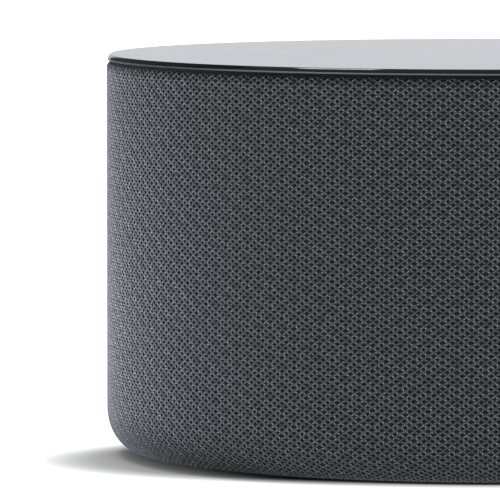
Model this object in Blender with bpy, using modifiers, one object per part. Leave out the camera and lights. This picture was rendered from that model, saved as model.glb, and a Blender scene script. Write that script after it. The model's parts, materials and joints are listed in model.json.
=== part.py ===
"""A puck-shaped smart speaker, built as the separate pieces it comes apart into.

Frame: metres, +Z up, origin at the middle of the footprint on the table, front towards -Y.
One full-range driver fires down at a deflector in the base, two passive radiators face
left and right, and the electronics sit between the sealed chamber and the top plate.
"""

import math

import bmesh
import bpy
from mathutils import Matrix, Vector

# Driving dimensions.
BODY_R = 0.0550  # outside of the knit sleeve
HEIGHT = 0.0587  # table to the top of the gloss plate
GAP = 0.0003  # clearance between touching pieces

# Knit sleeve: a tube whose bottom edge rolls under the base.
SLEEVE_T = 0.0008
SLEEVE_TOP = HEIGHT - 0.0013
SLEEVE_BOTTOM = 0.0007
ROLL_RX = 0.0047  # half axes of the rolled bottom edge
ROLL_RZ = 0.0063
ROLL_R = BODY_R - ROLL_RX  # where the roll meets the flat underside
ROLL_Z = SLEEVE_BOTTOM + ROLL_RZ  # where the roll meets the wall
HEM_R = 0.0487  # inner edge of the turned-under fabric

# Grille frame, the open cage that the sleeve is stretched over.
CAGE_T = 0.0016
CAGE_TOP = 0.0559
CAGE_OFF = SLEEVE_T + GAP  # outside of the sleeve to outside of the cage
WINDOW_W = 0.0180
WINDOW_ROWS = ((0.0115, 0.0280), (0.0325, 0.0500))
WINDOWS_PER_ROW = 12
CUT = 0.012  # length of a cutter that goes right through a wall or floor

# Top plate and the trim ring under its rim.
PLATE_R = 0.0549
PLATE_EDGE = 0.00055  # visible height of the bevelled rim
PLATE_BEVEL = 0.0004  # how far the bevel comes in
PLATE_T = 0.0015
PLATE_STEP_R = 0.0528
TRIM_TOP = HEIGHT - 0.00075
TRIM_LIP = 0.00025
TRIM_SKIRT_R = 0.0538
TRIM_SKIRT_Z = 0.0562

# Base plate and rubber foot.
BASE_R = 0.0483
BASE_BOTTOM = 0.0009
BASE_FLOOR = 0.0031
BASE_RIM_R = 0.0395  # the thick rim runs from here outwards
BASE_RIM_Z = 0.0050
FOOT_IN = 0.0410
FOOT_OUT = 0.0475
FOOT_T = 0.0015
FOOT_EDGE = 0.0003

# Top carrier, a moulded deck on four screw legs.
DECK_R = 0.0519
DECK_Z = (0.0541, 0.0557)
LEG_COUNT = 4
LEG_PITCH_R = 0.0450
LEG_R = 0.0028
LEG_BORE_R = 0.0014
LEG_BORE_DEPTH = 0.0080
SCREW_R = 0.0011
SCREW_HEAD_R = 0.0021
SCREW_HEAD_T = 0.0010
SCREW_SEAT_Z = 0.0032
SCREW_LENGTH = 0.0080

# Boards and what sits on them.
TOUCH_R = 0.0420
TOUCH_Z = (0.0560, 0.0569)
GUIDE_R = 0.0070
GUIDE_HOLE_R = 0.0074
MAIN_R = 0.0380
MAIN_Z = (0.0468, 0.0482)
ON_MAIN = MAIN_Z[1] + GAP
MIC_RING = (0.0487, 0.0518)
MIC_RING_Z = (0.0529, 0.0538)
MIC_COUNT = 4
MIC_SIZE = (0.0022, 0.0026, 0.0010)
LED_RING = (0.0050, 0.0064)
LED_T = 0.0008
GUIDE_WALL = 0.0010
GUIDE_LOW = 0.0498
GUIDE_TAPER_Z = 0.0535
FLEX_W = 0.0080  # ribbon from the main board to the touch board
FLEX_Y = -0.0240
FLEX_T = 0.0002
FLEX_BOW = 0.0012
FLEX_PLAY = 0.0024
LEAD_R = 0.0008

# Sealed chamber, a rounded square cup.
CHAMBER_SIDE = 0.0660
CHAMBER_CORNER = 0.0160
CHAMBER_WALL = 0.0020
CHAMBER_Z = (0.0154, 0.0410)
CHAMBER_LID_Z = (0.0422, 0.0442)
GASKET_W = 0.0025
DRIVER_HOLE_R = 0.0209
SIDE_HOLE_R = 0.0099
LEAD_PLACE = (0.0260, 0.0090)  # where the speaker lead passes the lid

# Full-range driver, on the centre line, firing down.
FLANGE_R = 0.0230
FLANGE_IN = 0.0193
FLANGE_Z = (0.0134, 0.0151)
BASKET_TOP = 0.0266
YOKE_R = 0.0136
YOKE_Z = (0.0269, 0.0360)
COIL_IN = 0.00965
FORMER_R = 0.01005
WINDING_R = 0.0108
FORMER_Z = (0.0206, 0.0310)
WINDING_Z = (0.0264, 0.0304)
MAGNET_R = 0.0086
MAGNET_T = 0.0039
POLE_R = 0.0093
POLE_T = 0.0025
CONE_EDGE = (0.0170, 0.0152)  # (radius, z)
CONE_NECK = (0.01035, 0.0211)
SHEET_T = 0.0005  # cone
THIN_SHEET_T = 0.0004  # dust cap and surrounds

# Passive radiators, facing +X and -X.
RADIATOR_Z = 0.0285
RADIATOR_FRAME = (0.0096, 0.0120)  # inner and outer radius
RADIATOR_FRAME_T = 0.0017
WEIGHT_DEPTH = 0.0015
RADIATOR_FACE = CHAMBER_SIDE / 2 + GAP  # frame's back face, from the centre line
DIAPHRAGM_R = 0.0072

# Rear port panel: power inlet, mute switch, and the reset button under the base.
PORT_Z = 0.0139
PORT_W = 0.0260
PORT_H = 0.0104
PORT_R = (0.0530, 0.0549)
PORT_CUT_Y = (0.0460, 0.0620)
INLET_R = 0.0037
JACK_X = -0.0060
JACK_SIZE = (0.0086, 0.0109, 0.0100)
JACK_FRONT = 0.0509
JACK_BORE_R = 0.0031
JACK_BORE_DEPTH = 0.0089
KNOB_SIZE = (0.0032, 0.0034, 0.0024)
KNOB_X = 0.0056
KNOB_TRAVEL = 0.0024
KNOB_TIP = 0.0543
KNOB_PLAY = 0.0004
PIN_R = 0.0010
PIN_FRONT = 0.0478
BOARD_Z = (0.0074, 0.0086)
BUTTON_Y = 0.0355
BUTTON_R = 0.0019
BUTTON_FLANGE_R = 0.0026
BUTTON_Z = (0.0010, 0.0039)
BUTTON_EDGE = 0.0002

# Facets round a turn, from the port panel's fine arc down to screws.
FINE = 90
LARGE = 60
WIDE = 48
MEDIUM = 36
BORE = 28
SMALL = 24
SLIM = 20
NARROW = 12
TINY = 10


def clear_scene():
    for obj in list(bpy.data.objects):
        bpy.data.objects.remove(obj, do_unlink=True)


def new_collection(name):
    collection = bpy.data.collections.new(name)
    bpy.context.scene.collection.children.link(collection)
    return collection


clear_scene()
PARTS = new_collection("smart_speaker")
CUTTERS = new_collection("cutters")


# Materials.
def material(name, colour, roughness, metallic=0.0):
    made = bpy.data.materials.new(name)
    made.use_nodes = True
    shader = made.node_tree.nodes["Principled BSDF"]
    shader.inputs["Base Color"].default_value = (*colour, 1.0)
    shader.inputs["Roughness"].default_value = roughness
    shader.inputs["Metallic"].default_value = metallic
    made.diffuse_color = (*colour, 1.0)
    return made


KNIT = material("knit", (0.06, 0.062, 0.068), 0.9)
GLOSS_BLACK = material("gloss_black", (0.012, 0.012, 0.013), 0.06)
TRIM_METAL = material("trim_metal", (0.05, 0.05, 0.055), 0.2, 1.0)
BLACK_PLASTIC = material("black_plastic", (0.02, 0.02, 0.021), 0.5)
GREY_PLASTIC = material("grey_plastic", (0.16, 0.16, 0.17), 0.55)
WHITE_PLASTIC = material("white_plastic", (0.8, 0.8, 0.78), 0.45)
RUBBER = material("rubber", (0.025, 0.025, 0.026), 0.85)
FOAM = material("foam", (0.05, 0.05, 0.05), 0.95)
CIRCUIT = material("circuit_board", (0.012, 0.05, 0.03), 0.4)
STEEL = material("steel", (0.55, 0.55, 0.56), 0.35, 1.0)
ALUMINIUM = material("aluminium", (0.75, 0.75, 0.76), 0.35, 1.0)
MAGNET_NICKEL = material("nickel", (0.62, 0.6, 0.57), 0.25, 1.0)
COPPER = material("copper", (0.72, 0.36, 0.2), 0.3, 1.0)
BRASS = material("brass", (0.7, 0.55, 0.25), 0.3, 1.0)
PAPER = material("cone_paper", (0.035, 0.035, 0.035), 0.8)
SPIDER_CLOTH = material("spider_cloth", (0.45, 0.32, 0.12), 0.9)


# Building helpers.
def add_object(name, mesh, surface, collection=None):
    obj = bpy.data.objects.new(name, mesh)
    (collection or PARTS).objects.link(obj)
    if surface is not None:
        mesh.materials.append(surface)
    return obj


def mesh_object(name, build, surface, collection=None):
    """An object from a function that fills a bmesh."""
    bm = bmesh.new()
    build(bm)
    mesh = bpy.data.meshes.new(name)
    bm.to_mesh(mesh)
    bm.free()
    return add_object(name, mesh, surface, collection)


def as_cutter(obj):
    obj.hide_render = True
    obj.display_type = "WIRE"
    return obj


def smooth(obj, angle=math.radians(35)):
    obj.data.shade_smooth()
    obj.data.set_sharp_from_angle(angle=angle)


def turned(name, profile, surface, steps=MEDIUM, collection=None):
    """A turned piece. The (radius, z) profile runs from the top down the outer side.

    A profile that starts and ends on the centre line makes a solid, and any other one
    is closed into a ring.
    """
    ring = profile[0][0] > 0 or profile[-1][0] > 0
    mesh = bpy.data.meshes.new(name)
    count = len(profile)
    edges = [(i, i + 1) for i in range(count - 1)]
    if ring:
        edges.append((count - 1, 0))
    mesh.from_pydata([(r, 0.0, z) for r, z in profile], edges, [])
    obj = add_object(name, mesh, surface, collection)
    screw = obj.modifiers.new("turn", "SCREW")
    screw.steps = steps
    screw.render_steps = steps
    screw.use_merge_vertices = True
    screw.merge_threshold = 0.00001
    screw.use_smooth_shade = True
    return obj


def plain_ring(name, inner, outer, low, high, surface, steps=MEDIUM, collection=None):
    profile = [(outer, high), (outer, low), (inner, low), (inner, high)]
    return turned(name, profile, surface, steps, collection=collection)


def cylinder(name, centre, radius, depth, surface=None, axis="Z", steps=SMALL, collection=None):
    turn = {
        "X": Matrix.Rotation(math.pi / 2, 4, "Y"),
        "Y": Matrix.Rotation(math.pi / 2, 4, "X"),
        "Z": Matrix.Identity(4),
    }[axis]
    place = Matrix.Translation(Vector(centre)) @ turn

    def build(bm):
        bmesh.ops.create_cone(
            bm, cap_ends=True, segments=steps, radius1=radius, radius2=radius, depth=depth,
            matrix=place,
        )

    return mesh_object(name, build, surface, collection)


def block(name, low, high, surface=None, radius=0.0, axis="Z", segments=4, collection=None):
    """A box between two corners, with its four edges along one axis rounded."""
    size = [b - a for a, b in zip(low, high)]
    middle = [(a + b) / 2 for a, b in zip(low, high)]
    along = "XYZ".index(axis)

    def build(bm):
        bmesh.ops.create_cube(bm, size=1.0)
        bmesh.ops.scale(bm, vec=size, verts=bm.verts)
        if radius:
            edges = [e for e in bm.edges if abs((e.verts[0].co - e.verts[1].co)[along]) > 1e-6]
            bmesh.ops.bevel(
                bm, geom=edges, offset=radius, segments=segments, affect="EDGES", profile=0.5
            )
        bmesh.ops.translate(bm, vec=middle, verts=bm.verts)

    return mesh_object(name, build, surface, collection)


def wire(name, points, radius, surface):
    """A round wire along a smooth curve through the points, as a poly line."""
    curve = bpy.data.curves.new(name, "CURVE")
    curve.dimensions = "3D"
    curve.bevel_depth = radius
    curve.bevel_resolution = 1
    curve.use_fill_caps = True
    path = smooth_path([Vector(p) for p in points], 3)
    spline = curve.splines.new("POLY")
    spline.points.add(len(path) - 1)
    for point, place in zip(spline.points, path):
        point.co = (*place, 1.0)
    curve.materials.append(surface)
    obj = bpy.data.objects.new(name, curve)
    PARTS.objects.link(obj)
    return obj


def smooth_path(points, per_span):
    """Catmull-Rom points through the given ones."""
    padded = [points[0]] + points + [points[-1]]
    path = []
    for k in range(len(points) - 1):
        a, b, c, d = padded[k : k + 4]
        for step in range(per_span):
            t = step / per_span
            path.append(
                0.5 * (2 * b + (c - a) * t + (2 * a - 5 * b + 4 * c - d) * t**2
                       + (3 * b - a - 3 * c + d) * t**3)
            )
    path.append(points[-1])
    return path


def boolean(obj, other, operation="DIFFERENCE"):
    as_cutter(other)
    change = obj.modifiers.new(operation.lower(), "BOOLEAN")
    change.operation = operation
    change.object = other
    return obj


def quarter(centre, rx, rz, steps, start=0.0, end=math.pi / 2):
    """Points on an ellipse's lower right quarter, from its side down to its bottom."""
    points = []
    for k in range(steps + 1):
        t = start + (end - start) * k / steps
        points.append((centre[0] + rx * math.cos(t), centre[1] - rz * math.sin(t)))
    return points


def around(count, radius, start=0.0):
    """Evenly spaced (x, y, angle) round the centre line."""
    for k in range(count):
        angle = start + 2 * math.pi * k / count
        yield radius * math.cos(angle), radius * math.sin(angle), angle


# Outside.
def make_sleeve():
    corner = (ROLL_R, ROLL_Z)
    outside = quarter(corner, ROLL_RX, ROLL_RZ, 4)
    inside = quarter(corner, ROLL_RX - SLEEVE_T, ROLL_RZ - SLEEVE_T, 3)
    profile = [(BODY_R, SLEEVE_TOP)] + outside
    profile += [(HEM_R, SLEEVE_BOTTOM), (HEM_R, SLEEVE_BOTTOM + SLEEVE_T)]
    profile += inside[::-1] + [(BODY_R - SLEEVE_T, SLEEVE_TOP)]
    sleeve = turned("fabric_sleeve", profile, KNIT, LARGE)
    boolean(sleeve, port_cutter("sleeve_port", 2 * GAP))


def make_grille_frame():
    corner = (ROLL_R, ROLL_Z)
    outside = quarter(corner, ROLL_RX - CAGE_OFF, ROLL_RZ - CAGE_OFF, 3)
    deep = CAGE_OFF + CAGE_T
    inside = quarter(corner, ROLL_RX - deep, ROLL_RZ - deep, 2)
    bottom = SLEEVE_BOTTOM + CAGE_OFF
    profile = [(BODY_R - CAGE_OFF, CAGE_TOP)] + outside
    profile += [(HEM_R, bottom), (HEM_R, bottom + CAGE_T)]
    profile += inside[::-1] + [(BODY_R - deep, CAGE_TOP)]
    cage = turned("grille_frame", profile, BLACK_PLASTIC, WIDE)

    def build(bm):
        for low, high in WINDOW_ROWS:
            for x, y, angle in around(WINDOWS_PER_ROW, BODY_R, math.pi / WINDOWS_PER_ROW):
                near_port = y > 0 and abs(x) < PORT_W and low < PORT_Z + PORT_H
                if near_port:
                    continue
                place = Matrix.Translation((x, y, (low + high) / 2))
                place = place @ Matrix.Rotation(angle, 4, "Z")
                place = place @ Matrix.Diagonal((CUT, WINDOW_W, high - low, 1.0))
                bmesh.ops.create_cube(bm, size=1.0, matrix=place)

    windows = mesh_object("grille_windows", build, None, CUTTERS)
    boolean(cage, windows)
    boolean(cage, port_cutter("grille_port", GAP))


def port_cutter(name, margin):
    """A pill-shaped prism through the rear wall, larger than the port panel by the margin."""
    half_w = PORT_W / 2 + margin
    half_h = PORT_H / 2 + margin
    return block(
        name, (-half_w, PORT_CUT_Y[0], PORT_Z - half_h), (half_w, PORT_CUT_Y[1], PORT_Z + half_h),
        radius=half_h * 0.98, axis="Y", segments=8, collection=CUTTERS,
    )


def make_top_plate():
    profile = [
        (0, HEIGHT),
        (PLATE_R - PLATE_BEVEL, HEIGHT),
        (PLATE_R, HEIGHT - PLATE_EDGE),
        (PLATE_STEP_R, HEIGHT - PLATE_EDGE),
        (PLATE_STEP_R, HEIGHT - PLATE_T),
        (0, HEIGHT - PLATE_T),
    ]
    turned("top_plate", profile, GLOSS_BLACK, LARGE)


def make_trim_ring():
    inner = PLATE_STEP_R + GAP
    profile = [
        (PLATE_R, TRIM_TOP),
        (PLATE_R, TRIM_TOP - TRIM_LIP),
        (TRIM_SKIRT_R, TRIM_TOP - TRIM_LIP),
        (TRIM_SKIRT_R, TRIM_SKIRT_Z),
        (inner, TRIM_SKIRT_Z),
        (inner, TRIM_TOP),
    ]
    turned("trim_ring", profile, TRIM_METAL, LARGE)


def make_base():
    groove_in = FOOT_IN - GAP
    groove_out = FOOT_OUT + GAP
    groove_z = FOOT_T + GAP
    profile = [
        (0, BASE_FLOOR),
        (BASE_RIM_R, BASE_FLOOR),
        (BASE_RIM_R, BASE_RIM_Z),
        (BASE_R, BASE_RIM_Z),
        (BASE_R, BASE_BOTTOM),
        (groove_out, BASE_BOTTOM),
        (groove_out, groove_z),
        (groove_in, groove_z),
        (groove_in, BASE_BOTTOM),
        (0, BASE_BOTTOM),
    ]
    base = turned("base_plate", profile, BLACK_PLASTIC, WIDE)

    boolean(base, screw_holes("base_bores", LEG_BORE_R, CUT))
    boolean(base, screw_holes("base_counterbores", SCREW_HEAD_R + GAP, SCREW_SEAT_Z))
    button_hole = cylinder(
        "button_hole", (0, BUTTON_Y, 0), BUTTON_R + GAP, CUT, steps=SMALL, collection=CUTTERS
    )
    boolean(base, button_hole)

    foot = [
        (FOOT_OUT, FOOT_T),
        (FOOT_OUT, FOOT_EDGE),
        (FOOT_OUT - FOOT_EDGE, 0),
        (FOOT_IN + FOOT_EDGE, 0),
        (FOOT_IN, FOOT_EDGE),
        (FOOT_IN, FOOT_T),
    ]
    turned("foot_ring", foot, RUBBER, WIDE)


def screw_holes(name, radius, high):
    """Four round cutters on the legs' pitch circle, from the table up to a height."""

    def build(bm):
        for x, y, _ in around(LEG_COUNT, LEG_PITCH_R, math.pi / 4):
            bmesh.ops.create_cone(
                bm, cap_ends=True, segments=NARROW, radius1=radius, radius2=radius, depth=high,
                matrix=Matrix.Translation((x, y, high / 2)),
            )

    return mesh_object(name, build, None, CUTTERS)


def make_base_screws():
    head_z = SCREW_SEAT_Z - GAP
    profile = [
        (0, head_z + SCREW_LENGTH),
        (SCREW_R, head_z + SCREW_LENGTH),
        (SCREW_R, head_z),
        (SCREW_HEAD_R, head_z),
        (SCREW_HEAD_R, head_z - SCREW_HEAD_T),
        (0, head_z - SCREW_HEAD_T),
    ]
    for k, (x, y, _) in enumerate(around(LEG_COUNT, LEG_PITCH_R, math.pi / 4), 1):
        screw = turned(f"base_screw_{k}", profile, STEEL, TINY)
        screw.location = (x, y, 0)


# Top structure and electronics.
def make_top_carrier():
    deck = cylinder(
        "top_carrier", (0, 0, sum(DECK_Z) / 2), DECK_R, DECK_Z[1] - DECK_Z[0], BLACK_PLASTIC,
        steps=MEDIUM,
    )
    leg_low = BASE_RIM_Z + GAP
    leg_high = sum(DECK_Z) / 2

    def legs(bm):
        for x, y, _ in around(LEG_COUNT, LEG_PITCH_R, math.pi / 4):
            bmesh.ops.create_cone(
                bm, cap_ends=True, segments=NARROW, radius1=LEG_R, radius2=LEG_R,
                depth=leg_high - leg_low,
                matrix=Matrix.Translation((x, y, (leg_low + leg_high) / 2)),
            )

    def bores(bm):
        for x, y, _ in around(LEG_COUNT, LEG_PITCH_R, math.pi / 4):
            bmesh.ops.create_cone(
                bm, cap_ends=True, segments=TINY, radius1=LEG_BORE_R, radius2=LEG_BORE_R,
                depth=2 * LEG_BORE_DEPTH, matrix=Matrix.Translation((x, y, leg_low)),
            )

    boolean(deck, mesh_object("carrier_legs", legs, None, CUTTERS), "UNION")
    boolean(deck, mesh_object("leg_bores", bores, None, CUTTERS))
    guide_hole = cylinder(
        "carrier_guide_hole", (0, 0, DECK_Z[0]), GUIDE_HOLE_R, CUT, steps=SMALL, collection=CUTTERS
    )
    boolean(deck, guide_hole)
    half_w, half_d = FLEX_W / 2 + FLEX_PLAY, FLEX_PLAY + GAP
    slot = block(
        "carrier_flex_slot", (-half_w, FLEX_Y - half_d, DECK_Z[0] - CUT / 2),
        (half_w, FLEX_Y + half_d, DECK_Z[1] + GAP), collection=CUTTERS,
    )
    boolean(deck, slot)


def make_touch_board():
    plain_ring("touch_board", GUIDE_HOLE_R, TOUCH_R, *TOUCH_Z, CIRCUIT, MEDIUM)
    guide = [
        (0, TOUCH_Z[1]),
        (GUIDE_R, TOUCH_Z[1]),
        (GUIDE_R, GUIDE_TAPER_Z),
        (GUIDE_R - 0.8 * GUIDE_WALL, GUIDE_LOW),
        (GUIDE_R - 1.8 * GUIDE_WALL, GUIDE_LOW),
        (GUIDE_R - 1.8 * GUIDE_WALL, TOUCH_Z[1] - GUIDE_WALL),
        (0, TOUCH_Z[1] - GUIDE_WALL),
    ]
    turned("light_guide", guide, WHITE_PLASTIC, SLIM)


def make_microphones():
    plain_ring("mic_board", *MIC_RING, *MIC_RING_Z, CIRCUIT, MEDIUM)
    middle = sum(MIC_RING) / 2
    top = MIC_RING_Z[0] - GAP
    width, depth, height = MIC_SIZE
    for k, (x, y, angle) in enumerate(around(MIC_COUNT, middle), 1):
        mic = block(
            f"microphone_{k}", (-width / 2, -depth / 2, top - height),
            (width / 2, depth / 2, top), STEEL,
        )
        mic.location = (x, y, 0)
        mic.rotation_euler = (0, 0, angle)


def make_main_board():
    cylinder(
        "main_board", (0, 0, sum(MAIN_Z) / 2), MAIN_R, MAIN_Z[1] - MAIN_Z[0], CIRCUIT,
        steps=MEDIUM,
    )
    plain_ring("status_leds", *LED_RING, ON_MAIN, ON_MAIN + LED_T, WHITE_PLASTIC, SMALL)
    block(
        "soc_shield", (-0.0300, -0.0040, ON_MAIN), (-0.0080, 0.0160, 0.0507), STEEL,
        radius=0.0008, segments=2,
    )
    block(
        "heat_spreader", (-0.0320, -0.0070, 0.0510), (-0.0075, 0.0190, 0.0520), ALUMINIUM,
        radius=0.0015, segments=2,
    )
    for k, y in enumerate((-0.0020, 0.0070), 1):
        cylinder(
            f"capacitor_{k}", (0.0200, y, ON_MAIN + 0.0025), 0.0032, 0.0050, ALUMINIUM, steps=SLIM
        )
    block(
        "amp_inductor", (0.0090, -0.0210, ON_MAIN), (0.0160, -0.0140, 0.0515), GREY_PLASTIC,
        radius=0.0012, segments=2,
    )
    block("antenna", (-0.0180, 0.0300, ON_MAIN), (-0.0040, 0.0305, 0.0530), BRASS)
    block("flex_socket", (-0.0050, -0.0255, ON_MAIN), (0.0050, -0.0225, 0.0497), WHITE_PLASTIC)
    block("power_socket", (0.0050, 0.0315, ON_MAIN), (0.0130, 0.0355, 0.0512), WHITE_PLASTIC)


def make_leads():
    wire(
        "power_lead",
        [
            (0.0090, 0.0385, 0.0108),
            (0.0090, 0.0400, 0.0180),
            (0.0090, 0.0412, 0.0300),
            (0.0090, 0.0412, 0.0440),
            (0.0090, 0.0400, 0.0508),
            (0.0090, 0.0365, 0.0529),
            (0.0090, 0.0338, 0.0524),
            (0.0090, 0.0332, 0.0516),
        ],
        LEAD_R, BLACK_PLASTIC,
    )
    wire(
        "speaker_lead",
        [
            (0.0215, 0.0060, 0.0225),
            (0.0238, 0.0075, 0.0270),
            (0.0260, 0.0090, 0.0340),
            (0.0260, 0.0090, 0.0400),
            (0.0260, 0.0090, 0.0465),
        ],
        LEAD_R, BLACK_PLASTIC,
    )
    flex = mesh_object("touch_flex", flex_strip, COPPER)
    thicken = flex.modifiers.new("thickness", "SOLIDIFY")
    thicken.thickness = FLEX_T
    thicken.offset = 0.0


def flex_strip(bm):
    """A flat ribbon standing between the main board's socket and the touch board."""
    rows = 10
    low, high = GUIDE_LOW + 0.0002, TOUCH_Z[0] - GAP
    bmesh.ops.create_grid(bm, x_segments=1, y_segments=rows, size=0.5)
    for vert in bm.verts:
        t = vert.co.y + 0.5
        bow = FLEX_BOW * math.sin(math.pi * t) * math.cos(math.pi * t)
        vert.co = (vert.co.x * FLEX_W, FLEX_Y + bow, low + (high - low) * t)


# Sealed chamber.
def chamber_block(name, low, high, inset, surface=None, collection=None):
    half = CHAMBER_SIDE / 2 - inset
    return block(
        name, (-half, -half, low), (half, half, high), surface,
        radius=CHAMBER_CORNER - inset, segments=6, collection=collection,
    )


def make_chamber():
    cup = chamber_block("chamber_cup", *CHAMBER_Z, 0.0, GREY_PLASTIC)
    hollow = chamber_block(
        "chamber_hollow", CHAMBER_Z[0] + CHAMBER_WALL, CHAMBER_Z[1] + CUT, CHAMBER_WALL,
        collection=CUTTERS,
    )
    boolean(cup, hollow)
    driver_hole = cylinder(
        "driver_hole", (0, 0, CHAMBER_Z[0]), DRIVER_HOLE_R, CUT, steps=MEDIUM, collection=CUTTERS
    )
    boolean(cup, driver_hole)
    side_holes = cylinder(
        "side_holes", (0, 0, RADIATOR_Z), SIDE_HOLE_R, CHAMBER_SIDE + CUT, axis="X", steps=SMALL,
        collection=CUTTERS,
    )
    boolean(cup, side_holes)

    gasket = chamber_block(
        "chamber_gasket", CHAMBER_Z[1] + GAP, CHAMBER_LID_Z[0] - GAP, 0.0, FOAM
    )
    hollow = chamber_block(
        "gasket_hollow", CHAMBER_Z[1] - CUT, CHAMBER_LID_Z[0] + CUT, GASKET_W, collection=CUTTERS
    )
    boolean(gasket, hollow)

    lid = chamber_block("chamber_lid", *CHAMBER_LID_Z, 0.0, GREY_PLASTIC)
    lead_hole = cylinder(
        "lead_hole", (*LEAD_PLACE, CHAMBER_LID_Z[0]), LEAD_R + 0.0005, CUT, steps=NARROW,
        collection=CUTTERS,
    )
    boolean(lid, lead_hole)


# Driver.
def make_basket():
    """The open basket: a seat for the motor, sloped ribs and the flange."""
    wall = 0.0012
    rib_r, rib_z = 0.0186, 0.0220  # where the ribs turn in
    seat_r, seat_in = 0.0168, 0.0116
    seat_z = BASKET_TOP - 0.0017
    profile = [
        (seat_r, BASKET_TOP),
        (rib_r, rib_z),
        (FLANGE_IN + wall - 0.0001, FLANGE_Z[1]),
        (FLANGE_R, FLANGE_Z[1]),
        (FLANGE_R, FLANGE_Z[0]),
        (FLANGE_IN, FLANGE_Z[0]),
        (FLANGE_IN, FLANGE_Z[1]),
        (rib_r - wall, rib_z),
        (seat_r - wall / 2, seat_z),
        (seat_in, seat_z),
        (seat_in, BASKET_TOP),
    ]
    basket = turned("driver_basket", profile, BLACK_PLASTIC, SMALL)
    window_r, window_z, window_size = 0.0190, 0.0197, (0.0080, 0.0105, 0.0042)

    def build(bm):
        for x, y, angle in around(4, window_r, math.pi / 4):
            place = Matrix.Translation((x, y, window_z)) @ Matrix.Rotation(angle, 4, "Z")
            place = place @ Matrix.Diagonal((*window_size, 1.0))
            bmesh.ops.create_cube(bm, size=1.0, matrix=place)

    boolean(basket, mesh_object("basket_windows", build, None, CUTTERS))


def make_motor():
    """The magnet and the pole plate hang inside the yoke's cup, and leave the coil's gap."""
    cup_r, cup_z = 0.0112, 0.0340
    yoke = [
        (0, YOKE_Z[1]),
        (YOKE_R, YOKE_Z[1]),
        (YOKE_R, YOKE_Z[0]),
        (cup_r, YOKE_Z[0]),
        (cup_r, cup_z),
        (0, cup_z),
    ]
    turned("motor_yoke", yoke, STEEL, SMALL)
    top = cup_z - GAP
    cylinder(
        "motor_magnet", (0, 0, top - MAGNET_T / 2), MAGNET_R, MAGNET_T, MAGNET_NICKEL, steps=BORE
    )
    top -= MAGNET_T + GAP
    cylinder("pole_plate", (0, 0, top - POLE_T / 2), POLE_R, POLE_T, STEEL, steps=SMALL)


def make_moving_driver():
    coil = [
        (FORMER_R, FORMER_Z[1]),
        (FORMER_R, WINDING_Z[1]),
        (WINDING_R, WINDING_Z[1]),
        (WINDING_R, WINDING_Z[0]),
        (FORMER_R, WINDING_Z[0]),
        (FORMER_R, FORMER_Z[0]),
        (COIL_IN, FORMER_Z[0]),
        (COIL_IN, FORMER_Z[1]),
    ]
    turned("voice_coil", coil, COPPER, SMALL)
    edge_r, edge_z = CONE_EDGE
    neck_r, neck_z = CONE_NECK
    cone = []
    slope = 3
    sag = 0.0006
    for k in range(slope + 1):
        t = k / slope
        bow = sag * math.sin(math.pi * t)
        cone.append((neck_r + (edge_r - neck_r) * t, neck_z + (edge_z - neck_z) * t - bow))
    upper = [(r, z + SHEET_T) for r, z in cone]
    turned("speaker_cone", upper + cone[::-1], PAPER, SMALL)

    dome_r, dome_z, dome_h = 0.0098, 0.0199, 0.0014
    steps = 4
    dome = []
    for k in range(steps + 1):
        r = dome_r * k / steps
        dome.append((r, dome_z - dome_h * (1 - (r / dome_r) ** 2)))
    inside = [(r, z + THIN_SHEET_T) for r, z in dome]
    turned("dust_cap", inside + dome[::-1], PAPER, SLIM)


def make_suspension():
    """The half-roll surround and the corrugated spider, both thin sheets."""
    lip_r, flat_r = 0.0174, 0.0212
    centre_r, centre_z, roll = 0.0187, 0.0127, 0.0012
    steps = 5
    line = [(lip_r, centre_z + 0.0019)]
    for k in range(steps + 1):
        t = math.pi * k / steps
        line.append((centre_r - roll * math.cos(t), centre_z - roll * math.sin(t)))
    line.append((flat_r, centre_z))
    sheet_ring("driver_surround", line, THIN_SHEET_T, RUBBER)

    waves, wave_h, rise = 2, 0.0003, 0.0014
    steps = 8
    inner_r, outer_r, low = 0.0105, 0.0154, 0.0228
    line = []
    for k in range(steps + 1):
        t = k / steps
        wave = wave_h * math.sin(2 * math.pi * waves * t)
        line.append((inner_r + (outer_r - inner_r) * t, low + rise * t + wave))
    sheet_ring("spider", line, THIN_SHEET_T - 0.0001, SPIDER_CLOTH)


def sheet_ring(name, line, thickness, surface, steps=SMALL):
    """A thin turned sheet. The (radius, z) line runs outwards and is its lower face."""
    upper = []
    for k, (r, z) in enumerate(line):
        before = line[max(k - 1, 0)]
        after = line[min(k + 1, len(line) - 1)]
        along = Vector((after[0] - before[0], after[1] - before[1])).normalized()
        upper.append((r - along.y * thickness, z + along.x * thickness))
    return turned(name, upper + line[::-1], surface, steps)


def make_radiators():
    inner, outer = RADIATOR_FRAME
    front = RADIATOR_FRAME_T
    disc_t, weight_r = 0.0012, 0.0040
    disc = [
        (0, front + GAP + disc_t),
        (DIAPHRAGM_R, front + GAP + disc_t),
        (DIAPHRAGM_R, front + GAP),
        (weight_r, front + GAP),
        (weight_r, front - WEIGHT_DEPTH),
        (0, front - WEIGHT_DEPTH),
    ]
    top = front + disc_t + 2 * GAP
    glue_r, roll_r, roll_w, roll_h = 0.0062, 0.0073, 0.0026, 0.0009
    steps = 4
    line = [(glue_r, top), (roll_r, top)]
    for k in range(1, steps + 1):
        t = k / steps
        rise = roll_h * math.sin(math.pi * t) - (top - front - GAP) * t
        line.append((roll_r + roll_w * t, top + rise))
    line.append((outer - 0.0002, front + GAP))
    for k, side in enumerate((1, -1), 1):
        pieces = [
            plain_ring(f"radiator_frame_{k}", inner, outer, 0, front, BLACK_PLASTIC, SMALL),
            turned(f"radiator_disc_{k}", disc, ALUMINIUM, SMALL),
            sheet_ring(f"radiator_surround_{k}", line, THIN_SHEET_T, RUBBER),
        ]
        for piece in pieces:
            piece.rotation_euler = (0, side * math.pi / 2, 0)
            piece.location = (side * RADIATOR_FACE, 0, RADIATOR_Z)


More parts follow.
